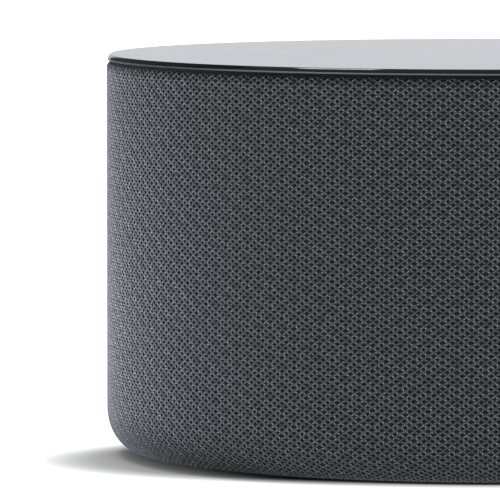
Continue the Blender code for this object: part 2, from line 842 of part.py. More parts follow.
def make_deflector():
    foot_r, tip_z, low = 0.0260, 0.0120, BASE_FLOOR + GAP
    edge_t, swell = 0.0004, 0.8
    profile = [(0, tip_z)]
    steps = 6
    for k in range(1, steps + 1):
        t = k / steps
        height = (tip_z - low - edge_t) * (1 - t) ** 2 * (1 + swell * t)
        profile.append((foot_r * t, low + edge_t + height))
    profile += [(foot_r, low), (0, low)]
    turned("deflector", profile, BLACK_PLASTIC, SMALL)


# Rear port panel and controls.
def make_port_panel():
    panel = plain_ring(
        "port_panel", *PORT_R, PORT_Z - PORT_H, PORT_Z + PORT_H, BLACK_PLASTIC, FINE
    )
    boolean(panel, port_cutter("port_outline", 0.0), "INTERSECT")
    inlet = cylinder(
        "inlet_hole", (JACK_X, PORT_R[1], PORT_Z), INLET_R, CUT, axis="Y", steps=BORE,
        collection=CUTTERS,
    )
    boolean(panel, inlet)
    half_z = KNOB_SIZE[2] / 2 + GAP
    slot_low = KNOB_X - KNOB_SIZE[0] / 2 - KNOB_PLAY
    slot_high = KNOB_X + KNOB_SIZE[0] / 2 + KNOB_TRAVEL + KNOB_PLAY
    slot = block(
        "switch_slot", (slot_low, PORT_CUT_Y[0], PORT_Z - half_z),
        (slot_high, PORT_CUT_Y[1], PORT_Z + half_z), collection=CUTTERS,
    )
    boolean(panel, slot)


def make_port_parts():
    block(
        "jack_board", (-0.0140, 0.0325, BOARD_Z[0]), (0.0140, 0.0490, BOARD_Z[1]), CIRCUIT,
        radius=0.001, segments=2,
    )
    width, depth, height = JACK_SIZE
    jack = block(
        "dc_jack",
        (JACK_X - width / 2, JACK_FRONT - depth, PORT_Z - height / 2),
        (JACK_X + width / 2, JACK_FRONT, PORT_Z + height / 2),
        BLACK_PLASTIC,
    )
    bore = cylinder(
        "jack_bore", (JACK_X, JACK_FRONT, PORT_Z), JACK_BORE_R, 2 * JACK_BORE_DEPTH, axis="Y",
        steps=BORE, collection=CUTTERS,
    )
    boolean(jack, bore)
    pin_back = JACK_FRONT - JACK_BORE_DEPTH + GAP
    cylinder(
        "jack_pin", (JACK_X, (pin_back + PIN_FRONT) / 2, PORT_Z), PIN_R, PIN_FRONT - pin_back,
        BRASS, axis="Y", steps=SLIM,
    )
    block(
        "switch_body", (0.0026, 0.0445, BOARD_Z[1] + GAP), (0.0110, 0.0506, 0.0166), GREY_PLASTIC
    )
    knob_w, knob_d, knob_h = KNOB_SIZE
    knob = block(
        "mute_switch",
        (-knob_w / 2, KNOB_TIP - knob_d, -knob_h / 2),
        (knob_w / 2, KNOB_TIP, knob_h / 2),
        GREY_PLASTIC, radius=0.0004, axis="Y", segments=2,
    )
    knob.location = (KNOB_X, 0, PORT_Z)
    block(
        "reset_switch", (-0.0022, BUTTON_Y - 0.0022, 0.0049), (0.0022, BUTTON_Y + 0.0022, 0.0071),
        STEEL,
    )
    button = turned(
        "reset_button",
        [
            (0, BUTTON_Z[1]),
            (BUTTON_FLANGE_R, BUTTON_Z[1]),
            (BUTTON_FLANGE_R, BASE_FLOOR + GAP),
            (BUTTON_R, BASE_FLOOR + GAP),
            (BUTTON_R, BUTTON_Z[0] + BUTTON_EDGE),
            (BUTTON_R - BUTTON_EDGE, BUTTON_Z[0]),
            (0, BUTTON_Z[0]),
        ],
        GREY_PLASTIC, SLIM,
    )
    button.location = (0, BUTTON_Y, 0)


def shade_all():
    for obj in PARTS.objects:
        if obj.type == "MESH" and obj.data.polygons:
            smooth(obj)


make_sleeve()
make_grille_frame()
make_top_plate()
make_trim_ring()
make_base()
make_base_screws()
make_top_carrier()
make_touch_board()
make_microphones()
make_main_board()
make_leads()
make_chamber()
make_basket()
make_motor()
make_moving_driver()
make_suspension()
make_radiators()
make_deflector()
make_port_panel()
make_port_parts()
shade_all()
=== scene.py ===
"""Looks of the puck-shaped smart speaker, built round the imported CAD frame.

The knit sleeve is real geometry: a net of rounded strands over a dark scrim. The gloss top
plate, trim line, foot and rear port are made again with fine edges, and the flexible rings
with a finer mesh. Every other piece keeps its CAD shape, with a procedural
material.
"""

import json
import math

import bmesh
import bpy
import numpy as np
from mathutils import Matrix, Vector


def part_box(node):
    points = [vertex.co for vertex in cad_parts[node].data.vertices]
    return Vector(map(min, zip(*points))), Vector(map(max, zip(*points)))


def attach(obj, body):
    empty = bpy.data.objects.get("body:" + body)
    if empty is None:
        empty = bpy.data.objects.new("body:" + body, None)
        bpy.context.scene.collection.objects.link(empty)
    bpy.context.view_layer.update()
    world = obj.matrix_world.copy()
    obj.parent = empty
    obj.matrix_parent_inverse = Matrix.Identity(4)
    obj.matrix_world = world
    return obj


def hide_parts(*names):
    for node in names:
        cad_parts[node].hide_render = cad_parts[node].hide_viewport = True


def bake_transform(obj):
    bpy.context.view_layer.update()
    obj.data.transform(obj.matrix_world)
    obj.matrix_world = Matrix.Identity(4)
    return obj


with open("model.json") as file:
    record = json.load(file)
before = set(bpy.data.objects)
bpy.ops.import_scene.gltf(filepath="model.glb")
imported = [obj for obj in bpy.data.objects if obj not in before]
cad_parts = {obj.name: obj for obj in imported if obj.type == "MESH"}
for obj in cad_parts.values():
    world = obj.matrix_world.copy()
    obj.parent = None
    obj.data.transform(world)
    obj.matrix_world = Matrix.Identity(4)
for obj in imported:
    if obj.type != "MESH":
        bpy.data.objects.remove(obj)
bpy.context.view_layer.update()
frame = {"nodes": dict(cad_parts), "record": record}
HOUSING = "housing"
MM = 0.001

# Sizes read from the frame.
SLEEVE_LOW, SLEEVE_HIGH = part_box("fabric_sleeve")
PLATE_LOW, PLATE_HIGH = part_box("top_plate")
TRIM_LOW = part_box("trim_ring")[0]
FOOT_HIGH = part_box("foot_ring")[1]
PORT_LOW, PORT_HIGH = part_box("port_panel")
KNOB_LOW, KNOB_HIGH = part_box("mute_switch")

BODY_R = SLEEVE_HIGH.x
GIRTH = 2 * math.pi * BODY_R
SLEEVE_TOP = SLEEVE_HIGH.z
SLEEVE_BOTTOM = SLEEVE_LOW.z
PLATE_R = PLATE_HIGH.x

# The rear port's pill shape: half its height, its middle, and half the length of its straight.
PORT_HALF_H = (PORT_HIGH.z - PORT_LOW.z) / 2
PORT_Z = (PORT_HIGH.z + PORT_LOW.z) / 2
PORT_STRAIGHT = PORT_HIGH.x - PORT_HALF_H

# The sleeve's section: rounded top edge, straight wall, rolled bottom edge, short hem.
TOP_ROUND = 0.5 * MM
TOP_START = 80  # degrees from outwards at which the rounded top edge starts
ROLL_RX = 4.7 * MM
ROLL_RZ = 6.3 * MM
HEM_R = 48.7 * MM
TOP_STEPS, WALL_STEPS, ROLL_STEPS = 8, 40, 60

# The knit: holes on a centred lattice of cells, with strands along the cells' edges.
COLUMNS = 518
COLUMN_PITCH = GIRTH / COLUMNS
ROW_PITCH = 0.9176 * MM
TURN = 0.214 * MM / BODY_R  # where the first column stands round the sleeve
FIRST_ROW = -0.145 * MM
CUT = 0.35  # rows by which a cell's middle may lie past the sleeve's edges
REPEAT = 3  # cells along each lattice direction after which the knit's figure repeats
WANDER = 0.2  # share of a cell's random values that is its own and doesn't repeat
SECTORS = 6
KNIT_SEED = 7

# A strand's height off the cloth, and the share of it at each kind of point, lowest and highest.
STRAND_H = 0.15 * MM
RIDGE_HEIGHT, CORNER_HEIGHT, RIM_HEIGHT = (0.8, 1.0), (0.35, 0.8), (0.0, 0.35)
BEDDED = 0.8  # share of the strand's height that lies inside the sleeve's outer line
SWAY = 0.13  # share of the column pitch by which a corner may lie off its place
SIDE_POINTS = (0.3, 0.7)  # where a cell's side has its two ridge points
RIM_SHIFT = 0.05 * MM
RIM_VARIES = (0.7, 1.3)
SIDE_RIM, SLANT_RIM = (0.83, 0.8), (0.85, 0.56)  # the hole's width and height over the cell's

# The yarn's shades, and how light the yarn is from 0 to 1.
YARN_SHADES = 9
YARN_DARK, YARN_LIGHT = 0.016, 0.22
YARN_TINT = (0.97, 1.0, 1.12)
SIDE_LIGHTS = (0.77, 0.44, 0.60)  # right of, above and left of a hole's top
SIDE_VARIES = 0.17
# Corner triangles, where three strands meet and the net dips, are darker: painted shade in the
# dips.
CORNER_LIGHT = (0.12, 0.56)
SHADE_NOISE = 0.5  # in shades
FLECKS = 0.05  # share of faces where the yarn catches the light
TOP_SHADE_LENGTH = 1.1 * MM  # length of the darker yarn at the top edge: painted shade under the plate's edge
ROLL_DARKER, TOP_SHADE_DARKER = 0.25, 0.55

SCRIM_ROWS = 90
SCRIM_GAP = 0.05 * MM  # between the scrim and the strands' feet

# The plate's bevel: degrees that it faces up at its top and at its foot, and its height.
BEVEL_TURN = (60, 16)
BEVEL_STEPS = 8
BEVEL_H = 0.55 * MM

SEGMENTS = 288  # round a turned piece
TRACK_SCALE = 260.0  # track figures per metre on the circuit boards
ROUGH_SHIFT = 0.15  # share by which a grained surface's roughness varies

# Foot, port, knob and the flexible rings.
FINE_EDGE = 0.2 * MM
FOOT_GROOVES = 4
GROOVE_W = 0.5 * MM
GROOVE_DEPTH = 0.3 * MM
GROOVE_SECTION = ((0.5, 0), (0.35, 1), (-0.35, 1), (-0.5, 0))  # shares of its width and depth
PORT_GAP = 0.1 * MM  # between the port's panel and the knit's cut edge
BEZEL_W = 1.0 * MM
BEZEL_PROUD = 0.12 * MM
BEZEL_SUNK = 0.9 * MM
BEZEL_ROUND = 0.25 * MM
RIB_COUNT = 3
RIB_W, RIB_THICK, RIB_PROUD = 0.35 * MM, 0.3 * MM, 0.1 * MM
RIB_SHARE = 0.62  # a rib's height over the knob's
RIB_ROUND = 0.08 * MM


# ---------------------------------------------------------------- material helpers
def set_inputs(node, values):
    """Sets a node's own sockets from names and values."""
    for name, value in values.items():
        node.inputs[name].default_value = value


def new_material(name, values):
    """A material, its node tree and its shader, with values set on the shader."""
    material = bpy.data.materials.new(name)
    material.use_nodes = True
    tree = material.node_tree
    shader = tree.nodes["Principled BSDF"]
    set_inputs(shader, values)
    return material, tree, shader


def row_frame(tree):
    """A point's place in the row frame, in metres."""
    return tree.nodes.new("ShaderNodeTexCoord").outputs["Object"]


def noise(tree, scale, detail=3.0, stretch=None):
    """A noise texture in the row frame. Its scale is in figures per metre."""
    source = row_frame(tree)
    if stretch:
        mapping = tree.nodes.new("ShaderNodeMapping")
        mapping.inputs["Scale"].default_value = stretch
        tree.links.new(source, mapping.inputs["Vector"])
        source = mapping.outputs["Vector"]
    texture = tree.nodes.new("ShaderNodeTexNoise")
    set_inputs(texture, {"Scale": scale, "Detail": detail, "Roughness": 0.55})
    tree.links.new(source, texture.inputs["Vector"])
    return texture.outputs["Fac"]


def length_of(tree, vector):
    """How long a vector is."""
    made = tree.nodes.new("ShaderNodeVectorMath")
    made.operation = "LENGTH"
    tree.links.new(vector, made.inputs[0])
    return made.outputs["Value"]


def ramp(tree, source, low, high, start=0.3, end=0.7):
    """Maps a value from start to end to a colour between two colours."""
    made = tree.nodes.new("ShaderNodeValToRGB")
    made.color_ramp.elements[0].position = start
    made.color_ramp.elements[0].color = (*low, 1)
    made.color_ramp.elements[1].position = end
    made.color_ramp.elements[1].color = (*high, 1)
    tree.links.new(source, made.inputs["Fac"])
    return made.outputs["Color"]


def spread(tree, source, low, high, start=0.0, end=1.0, curve="LINEAR"):
    """Maps a value from start to end to a number between two numbers."""
    made = tree.nodes.new("ShaderNodeMapRange")
    made.interpolation_type = curve
    set_inputs(made, {"From Min": start, "From Max": end, "To Min": low, "To Max": high})
    tree.links.new(source, made.inputs["Value"])
    return made.outputs["Result"]


def bump(tree, shader, source, distance):
    """Fine relief of a real depth."""
    made = tree.nodes.new("ShaderNodeBump")
    set_inputs(made, {"Distance": distance, "Strength": 1.0})
    tree.links.new(source, made.inputs["Height"])
    tree.links.new(made.outputs["Normal"], shader.inputs["Normal"])


def plain(
    name, colour, rough, metal=0.0, grain=900.0, depth=0.01 * MM, shift=0.15, stretch=None,
    gloss=0.5,
):
    """A moulded or metal surface: fine grain in its colour, roughness and relief."""
    material, tree, shader = new_material(name, {"Metallic": metal, "Specular IOR Level": gloss})
    value = noise(tree, grain, stretch=stretch)
    low = [c * (1 - shift) for c in colour]
    high = [c * (1 + shift) for c in colour]
    varied = spread(tree, value, rough * (1 - ROUGH_SHIFT), rough * (1 + ROUGH_SHIFT))
    tree.links.new(ramp(tree, value, low, high), shader.inputs["Base Color"])
    tree.links.new(varied, shader.inputs["Roughness"])
    bump(tree, shader, value, depth)
    return material


# ---------------------------------------------------------------- mesh helpers
def place_object(name, data):
    """A new object in the scene for a mesh, a light or a camera."""
    obj = bpy.data.objects.new(name, data)
    bpy.context.scene.collection.objects.link(obj)
    return obj


def dress(mesh, material, sharp):
    """One material and smooth shading, but for edges that turn more than sharp degrees."""
    mesh.shade_smooth()
    mesh.set_sharp_from_angle(angle=math.radians(sharp))
    mesh.materials.clear()
    mesh.materials.append(material)


def add_mesh(name, verts, faces, material, smooth=True):
    """A mesh object from numpy arrays: verts (n, 3) and quad or triangle faces (m, k)."""
    verts = np.asarray(verts, np.float32)
    faces = np.asarray(faces, np.int32)
    mesh = bpy.data.meshes.new(name)
    mesh.vertices.add(len(verts))
    mesh.vertices.foreach_set("co", verts.ravel())
    count, sides = faces.shape
    mesh.loops.add(count * sides)
    mesh.loops.foreach_set("vertex_index", faces.ravel())
    mesh.polygons.add(count)
    mesh.polygons.foreach_set("loop_start", np.arange(count, dtype=np.int32) * sides)
    mesh.polygons.foreach_set("loop_total", np.full(count, sides, np.int32))
    mesh.update(calc_edges=True)
    mesh.polygons.foreach_set("use_smooth", np.full(count, smooth))
    mesh.validate()
    mesh.materials.append(material)
    return place_object(name, mesh)


def turned(name, profile, material, sharp=40.0):
    """A closed turned piece. The (radius, z) points run from the top down the outer side.

    A profile that starts and ends at radius 0 makes a solid, any other one a ring.
    """
    profile = np.asarray(profile, float)
    solid = profile[0, 0] == 0 and profile[-1, 0] == 0
    bm = bmesh.new()
    angles = np.linspace(0, 2 * math.pi, SEGMENTS, endpoint=False)
    rings = []
    for r, z in profile:
        if r == 0:
            rings.append([bm.verts.new((0, 0, z))])
        else:
            rings.append([bm.verts.new((r * math.cos(a), r * math.sin(a), z)) for a in angles])
    pairs = list(zip(rings, rings[1:]))
    if not solid:
        pairs.append((rings[-1], rings[0]))
    for upper, lower in pairs:
        for k in range(SEGMENTS):
            n = (k + 1) % SEGMENTS
            corners = [upper[k % len(upper)], lower[k % len(lower)]]
            if len(lower) > 1:
                corners.append(lower[n])
            if len(upper) > 1:
                corners.append(upper[n])
            bm.faces.new(corners)
    mesh = bpy.data.meshes.new(name)
    bm.to_mesh(mesh)
    bm.free()
    dress(mesh, material, sharp)
    return place_object(name, mesh)


def arc(centre, radius, start, end, steps):
    """Points round a centre in the (radius, z) section, angles in degrees from outwards."""
    points = []
    for k in range(steps + 1):
        a = math.radians(start + (end - start) * k / steps)
        points.append((centre[0] + radius * math.cos(a), centre[1] + radius * math.sin(a)))
    return points


def stand_for(obj, body, slot, *nodes):
    """Rides on a body and stands for CAD nodes. The slot argument is not used."""
    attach(obj, body)
    if nodes:
        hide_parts(*nodes)


# ---------------------------------------------------------------- camera and light
CAMERA_D = 1058.0 * MM  # how far in front of the speaker's axis
CAMERA_Z = 102.34 * MM
CAMERA_YAW = 1.844  # degrees turned to the left
CAMERA_PITCH = 3.922  # degrees turned down
LENS = 520.3  # focal length in millimetres
SENSOR_W = 36.0
CLIP_NEAR, CLIP_FAR = 0.05, 100.0

HORIZON = (0.79, 0.80, 0.84)
CEILING = (0.42, 0.42, 0.44)
SKY_REACH = (0.1, 0.6)  # the sky direction's z where the horizon ends and the ceiling starts

FLOOR_HALF = 20.0
# The floor's painted shadow: an oval round the speaker where the floor's glow fades out.
SHADE_CENTRE = (23.7 * MM, -2.7 * MM, 0)
SHADE_TURN = 0.16
SHADE_DEPTH = 0.5  # the shade's depth over its width
SHADE_REACH = (79.5 * MM, 98.5 * MM)  # half the shade's width where it is full and where it ends
FLOOR_GLOW = (0.0, 1.1)  # inside the shade and outside it
# The floor's grey, and the grey of the painted contact shadow under the speaker's edge.
FLOOR_GREY, CONTACT_SHADOW_GREY = (0.52, 0.515, 0.495), (0.13, 0.128, 0.124)
CONTACT_SHADOW_REACH = (47 * MM, 56 * MM)  # where the painted contact shadow goes from dark, under the edge, to the floor's grey

CARD_FRONT, CARD_BACK = (-1.0, -0.1), (-0.33, 0.95)  # (x, y) of the black card's two sides
CARD_Z = (0.0, 1.0)
CARD_GLOW = 0.09

WHITE, COOL = (1, 1, 1), (0.93, 0.97, 1.0)
# Each lamp's name, place, target, size, power in watts, colour, and if reflections show it.
LAMPS = (
    ("right_top", (0.34, 0.07, 1.3), (0, 0, 0), (0.4, 0.4), 5.4, WHITE, True),
    ("left_top", (-0.49, 0.18, 1.29), (0, 0, 0.06), (0.3, 0.3), 4.5, WHITE, True),
    ("left_side", (-1.22, 0.95, 0.09), (0, 0, 0.02), (0.6, 0.16), 37.0, COOL, False),
    ("left_low", (-0.11, -0.03, 0.008), (-0.045, 0, 0.008), (0.04, 0.012), 0.05, COOL, False),
)


def make_camera():
    """The camera of the photograph: far off, a little above the speaker, with a long lens."""
    data = bpy.data.cameras.new("camera")
    data.lens = LENS
    data.sensor_width = SENSOR_W
    data.clip_start = CLIP_NEAR
    data.clip_end = CLIP_FAR
    camera = place_object("camera", data)
    camera.location = (0, -CAMERA_D, CAMERA_Z)
    camera.rotation_euler = (math.radians(90 - CAMERA_PITCH), 0, math.radians(CAMERA_YAW))
    bpy.context.scene.camera = camera


def make_lights():
    """Two soft lamps overhead and two cool ones that graze the left side."""
    for name, place, target, size, power, colour, in_reflections in LAMPS:
        data = bpy.data.lights.new(name, "AREA")
        data.shape = "RECTANGLE"
        data.size, data.size_y = size
        data.energy = power
        data.color = colour
        lamp = place_object(name, data)
        lamp.location = place
        aim = Vector(target) - Vector(place)
        lamp.rotation_euler = aim.to_track_quat("-Z", "Y").to_euler()
        lamp.visible_glossy = in_reflections


def make_world():
    """A soft white studio: a pale horizon and a greyer ceiling."""
    world = bpy.data.worlds.new("studio")
    bpy.context.scene.world = world
    world.use_nodes = True
    tree = world.node_tree
    split = tree.nodes.new("ShaderNodeSeparateXYZ")
    direction = tree.nodes.new("ShaderNodeTexCoord").outputs["Generated"]
    tree.links.new(direction, split.inputs["Vector"])
    sky = ramp(tree, split.outputs["Z"], HORIZON, CEILING, *SKY_REACH)
    tree.links.new(sky, tree.nodes["Background"].inputs["Color"])


def make_floor():
    """A white glowing table top. The glow fades out in an oval round the speaker: a painted
    shadow.

    Under the speaker's edge the floor's grey goes darker: a painted contact shadow.
    """
    material, tree, shader = new_material("floor_glow_painted_shadow", {
        "Roughness": 0.9, "Specular IOR Level": 0.0, "Emission Color": (1, 1, 1, 1),
    })
    place = row_frame(tree)
    # Painted contact shadow: the floor's grey goes dark under the speaker's edge.
    base = ramp(tree, length_of(tree, place), CONTACT_SHADOW_GREY, FLOOR_GREY, *CONTACT_SHADOW_REACH)
    tree.links.new(base, shader.inputs["Base Color"])
    # Painted shadow: the floor's glow is off in an oval round the speaker.
    oval = tree.nodes.new("ShaderNodeMapping")
    oval.vector_type = "TEXTURE"
    set_inputs(oval, {
        "Location": SHADE_CENTRE, "Rotation": (0, 0, SHADE_TURN), "Scale": (1, SHADE_DEPTH, 1),
    })
    tree.links.new(place, oval.inputs["Vector"])
    away = length_of(tree, oval.outputs["Vector"])
    glow = spread(tree, away, *FLOOR_GLOW, *SHADE_REACH, curve="SMOOTHSTEP")
    tree.links.new(glow, shader.inputs["Emission Strength"])
    size = FLOOR_HALF
    corners = [(-size, -size, 0), (size, -size, 0), (size, size, 0), (-size, size, 0)]
    floor = add_mesh("floor", corners, [(0, 1, 2, 3)], material, smooth=False)


def make_black_card():
    """A black card on the left that only shows in reflections and keeps the rim dark."""
    material = new_material("card_black", {
        "Base Color": (0.0, 0.0, 0.0, 1), "Specular IOR Level": 0.0,
        "Emission Color": (1, 1, 1, 1), "Emission Strength": CARD_GLOW,
    })[0]
    corners = [(x, y, z) for x, y in (CARD_FRONT, CARD_BACK) for z in CARD_Z]
    card = add_mesh("black_card", corners, [(0, 1, 3, 2)], material, smooth=False)
    card.visible_camera = False
    card.visible_diffuse = False
    card.visible_shadow = False


# ---------------------------------------------------------------- knit sleeve
def sleeve_section():
    """The sleeve's outer line from the top edge to the hem: arc length, radius, z, normal."""
    roll_r, roll_z = BODY_R - ROLL_RX, SLEEVE_BOTTOM + ROLL_RZ
    edge = (BODY_R - TOP_ROUND, SLEEVE_TOP - TOP_ROUND)
    points = arc(edge, TOP_ROUND, TOP_START, 0, TOP_STEPS)
    points += [(BODY_R, z) for z in np.linspace(SLEEVE_TOP - 2 * TOP_ROUND, roll_z, WALL_STEPS)]
    for k in range(1, ROLL_STEPS + 1):
        t = math.pi / 2 * k / ROLL_STEPS
        points.append((roll_r + ROLL_RX * math.cos(t), roll_z - ROLL_RZ * math.sin(t)))
    points.append((HEM_R, SLEEVE_BOTTOM))
    points = np.array(points)
    steps = np.diff(points, axis=0)
    length = np.concatenate([[0], np.cumsum(np.linalg.norm(steps, axis=1))])
    along = np.gradient(points, length, axis=0)
    along /= np.linalg.norm(along, axis=1)[:, None]
    normal = np.stack([-along[:, 1], along[:, 0]], axis=1)
    return length, points, normal


SECTION = sleeve_section()
SLEEVE_LENGTH = SECTION[0][-1]


def on_sleeve(angle, down, height):
    """Points at an angle round the sleeve, a length down its section, and a height off it."""
    length, points, normal = SECTION
    down = np.clip(down, 0, SLEEVE_LENGTH)
    r = np.interp(down, length, points[:, 0]) + height * np.interp(down, length, normal[:, 0])
    z = np.interp(down, length, points[:, 1]) + height * np.interp(down, length, normal[:, 1])
    return np.stack([r * np.cos(angle), r * np.sin(angle), z], axis=-1)


class Knit:
    """The knit's cells, numbers for their vertices, and random values that mostly repeat."""

    def __init__(self, random, rows):
        self.random = random
        self.shape = (COLUMNS, rows)
        self.i, self.j = np.meshgrid(np.arange(COLUMNS), np.arange(rows), indexing="ij")
        odd = self.i % 2
        self.up = np.clip(self.j - 1 + odd, 0, rows - 1)
        self.low = np.clip(self.j + odd, 0, rows - 1)
        self.above = np.clip(self.j - 1, 0, rows - 1)
        self.after = (self.i + 1) % COLUMNS
        self.before = (self.i - 1) % COLUMNS
        self.figure = (self.i % REPEAT, (2 * self.j + odd - self.i) // 2 % REPEAT)
        self.u = self.i * COLUMN_PITCH
        self.v = FIRST_ROW + (self.j - 1.5 + 0.5 * odd) * ROW_PITCH

    def number(self, kind, i, j):
        """A vertex number: each cell owns one vertex of every kind."""
        return ((kind * self.shape[0] + i) * self.shape[1] + j).ravel()

    def varied(self, low, high, extra=()):
        """One value for each cell, mostly repeating with the figure and partly its own."""
        figure = self.random.uniform(-1, 1, (REPEAT, REPEAT, *extra))[self.figure]
        own = self.random.uniform(-1, 1, (*self.shape, *extra))
        return (low + high) / 2 + (high - low) / 2 * ((1 - WANDER) * figure + WANDER * own)


def net_points(knit):
    """The net's vertices, and the numbers of each cell's corners, ridge points and rim points.

    Every cell is a hexagon round a hole. Its six corners and the two points along each side
    are shared with its neighbours. Along a side the strand is a ridge, which falls to the edge
    of the hole, and at a corner, where three ridges meet, it dips.
    """
    centre = np.stack([knit.u, knit.v], -1)
    reach = COLUMN_PITCH / 2 + ROW_PITCH**2 / (8 * COLUMN_PITCH)
    sway = COLUMN_PITCH * SWAY
    places, heights = [], []

    # Kinds 0 and 1: the corners right and left of each cell's hole.
    for side in (1, -1):
        places.append(centre + [side * reach, 0] + knit.varied(-sway, sway, extra=(2,)))
        heights.append(knit.varied(*CORNER_HEIGHT) * STRAND_H)
    corners = np.stack([
        knit.number(0, knit.i, knit.j), knit.number(1, knit.after, knit.up),
        knit.number(0, knit.before, knit.up), knit.number(1, knit.i, knit.j),
        knit.number(0, knit.before, knit.low), knit.number(1, knit.after, knit.low),
    ], 1)
    from_centre = np.concatenate([p.reshape(-1, 2) for p in places])[corners]
    from_centre = from_centre - centre.reshape(-1, 1, 2)
    from_centre[..., 0] = (from_centre[..., 0] + GIRTH / 2) % GIRTH - GIRTH / 2

    # Kinds 2 to 7: two points along each of the three sides below the hole.
    for side in (3, 4, 5):
        ends = from_centre[:, side], from_centre[:, (side + 1) % 6]
        for share in SIDE_POINTS:
            along = ends[0] * (1 - share) + ends[1] * share
            bend = knit.varied(-sway / 2, sway / 2, extra=(2,))
            places.append(centre + along.reshape(centre.shape) + bend)
            heights.append(knit.varied(*RIDGE_HEIGHT) * STRAND_H)
    sides_above = (
        (3, knit.after, knit.up, 2), (5, knit.i, knit.above, 4), (7, knit.before, knit.up, 6),
    )
    ridges = [
        (knit.number(first, i, j), knit.number(second, i, j))
        for first, i, j, second in sides_above
    ]
    here = knit.i, knit.j
    ridges += [(knit.number(k, *here), knit.number(k + 1, *here)) for k in (2, 4, 6)]

    # Kinds 8 to 13: the edge of the hole, one point facing each corner.
    shift = knit.varied(-RIM_SHIFT, RIM_SHIFT, extra=(2,)).reshape(-1, 2)
    for k in range(6):
        share = SIDE_RIM if k in (0, 3) else SLANT_RIM
        size = knit.varied(*RIM_VARIES, extra=(2,)).reshape(-1, 2) * share
        edge = from_centre[:, k] * size + shift
        places.append(centre + edge.reshape(centre.shape))
        heights.append(knit.varied(*RIM_HEIGHT) * STRAND_H)
    rims = [knit.number(8 + k, *here) for k in range(6)]

    flat = np.concatenate([p.reshape(-1, 2) for p in places])
    lift = np.concatenate([h.ravel() for h in heights])
    verts = on_sleeve(flat[:, 0] / BODY_R + TURN, flat[:, 1], lift - BEDDED * STRAND_H)
    return verts, corners, ridges, rims


def net_triangles(knit, corners, ridges, rims):
    """Each cell's triangles, and how light each triangle's yarn is."""
    triangles, lights = [], []
    for k in range(6):
        n = (k + 1) % 6
        first, second = ridges[k]
        mean = SIDE_LIGHTS[k % 3]
        side_light = (mean - SIDE_VARIES, mean + SIDE_VARIES)
        faces = (
            # Corner triangles take CORNER_LIGHT: painted shade where the strands dip.
            (corners[:, k], first, rims[k], knit.varied(*CORNER_LIGHT)),
            (first, second, rims[n], knit.varied(*side_light)),
            (first, rims[n], rims[k], knit.varied(*side_light)),
            (second, corners[:, n], rims[n], knit.varied(*CORNER_LIGHT)),
        )
        for a, b, c, light in faces:
            triangles.append(np.stack([a, b, c], 1))
            lights.append(light.ravel())
    return np.stack(triangles, 1), np.stack(lights, 1)


def darkened(knit, lights):
    """The yarn's lights, darker on the roll, with painted shade at the top edge under the plate,
    and bright flecks.
    """
    wall = SLEEVE_TOP - SLEEVE_BOTTOM - ROLL_RZ
    rolled = np.clip((knit.v - wall) / ROLL_RZ, 0, 1).reshape(-1, 1)
    # Painted shade: the yarn's top rows go darker under the plate's edge.
    top_shade = np.clip(2 - 2 * knit.v / TOP_SHADE_LENGTH, 0, 1).reshape(-1, 1)
    lights = lights - ROLL_DARKER * rolled - TOP_SHADE_DARKER * top_shade
    flecked = knit.random.uniform(0, 1, (REPEAT, REPEAT, lights.shape[1])) < FLECKS
    return np.where(flecked[knit.figure].reshape(lights.shape), 1.0, lights)


def vertex_normals(verts, triangles):
    """Each vertex's normal: the mean of its triangles' normals, weighted by their areas."""
    edge = verts[triangles[:, 1]] - verts[triangles[:, 0]]
    other = verts[triangles[:, 2]] - verts[triangles[:, 0]]
    face = np.cross(edge, other)
    normals = np.zeros_like(verts)
    for k in range(3):
        for axis in range(3):
            normals[:, axis] += np.bincount(
                triangles[:, k], weights=face[:, axis], minlength=len(verts)
            )
    return normals / np.maximum(np.linalg.norm(normals, axis=1), 1e-12)[:, None]


def yarn_materials():
    """Dull grey yarn in a few shades, one for each face of the net, with a soft sheen."""
    shades = []
    for k, light in enumerate(np.linspace(0.0, 1.0, YARN_SHADES)):
        value = YARN_DARK * (YARN_LIGHT / YARN_DARK) ** light
        shades.append(new_material(f"yarn_shade_{k + 1}", {
            "Base Color": (*(value * tint for tint in YARN_TINT), 1),
            "Roughness": 0.7, "Specular IOR Level": 0.3,
            "Sheen Weight": 0.09, "Sheen Roughness": 0.5, "Sheen Tint": (0.85, 0.9, 1.0, 1),
        })[0])
    return shades


def scrim_material():
    """Nearly black cloth with a fine grain."""
    material, tree, shader = new_material("scrim_cloth", {
        "Roughness": 0.9, "Specular IOR Level": 0.2,
    })
    value = noise(tree, 3000.0)
    colour = ramp(tree, value, (0.007, 0.007, 0.008), (0.017, 0.017, 0.019))
    tree.links.new(colour, shader.inputs["Base Color"])
    return material


def in_port(angle, down, margin):
    """True where the sleeve is cut away round the rear port."""
    length, points, _ = SECTION
    z = np.interp(down, length, points[:, 1])
    x = BODY_R * np.cos(angle)
    away = np.hypot(np.maximum(np.abs(x) - PORT_STRAIGHT, 0), z - PORT_Z)
    return (away < PORT_HALF_H + margin) & (np.sin(angle) > 0)


